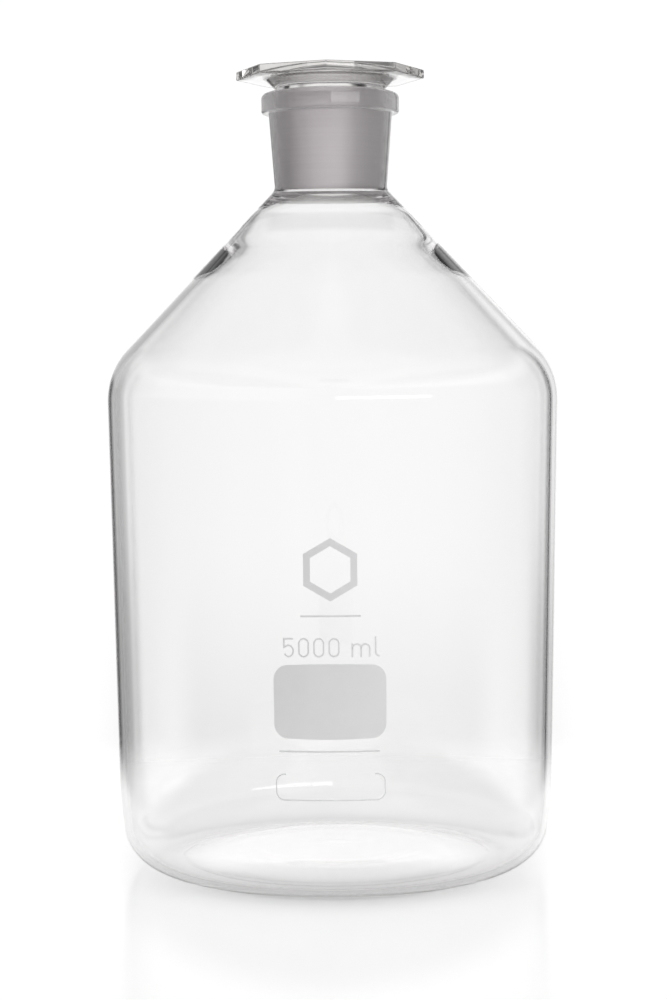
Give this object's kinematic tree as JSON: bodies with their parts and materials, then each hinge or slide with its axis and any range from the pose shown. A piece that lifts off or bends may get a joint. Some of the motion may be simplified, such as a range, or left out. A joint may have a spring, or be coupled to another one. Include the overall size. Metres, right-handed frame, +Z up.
{
  "type": "reagent bottle",
  "caption": "Clear narrow-neck laboratory bottle with a conical shoulder, a ground-joint neck and a lift-out octagonal glass stopper; enamel capacity mark and writing field on the front.",
  "frame": {"origin": "centre of the foot ring's contact plane, the surface the bottle stands on", "axes": "+Z up along the bottle's axis through the neck and stopper; -Y is the front, the side with the enamel marks; +X is to the right of somebody reading the marks"},
  "size_m": [0.182, 0.182, 0.321],
  "materials": {
    "clear_glass": "fire-polished clear borosilicate glass, with the conical bore of the neck ground to a fine matt",
    "stopper_glass": "pressed clear glass with a faint green-grey edge, the conical plug ground to a fine matt",
    "white_enamel": "fired-on pale grey-white enamel, satin"
  },
  "bodies": {
    "bottle": {"bottle": "clear_glass", "writing_panel": "white_enamel", "digit_five": "white_enamel", "digit_zero_1": "white_enamel", "digit_zero_2": "white_enamel", "digit_zero_3": "white_enamel", "unit_m": "white_enamel", "unit_l": "white_enamel", "hexagon_symbol": "white_enamel", "upper_rule": "white_enamel", "lower_rule": "white_enamel", "batch_frame": "white_enamel"},
    "stopper": {"stopper": "stopper_glass"}
  },
  "joints": [
    {"name": "stopper_lift", "type": "slide", "parent": "bottle", "child": "stopper", "axis": [0, 0, 1], "range_m": [0, 0.1]}
  ]
}
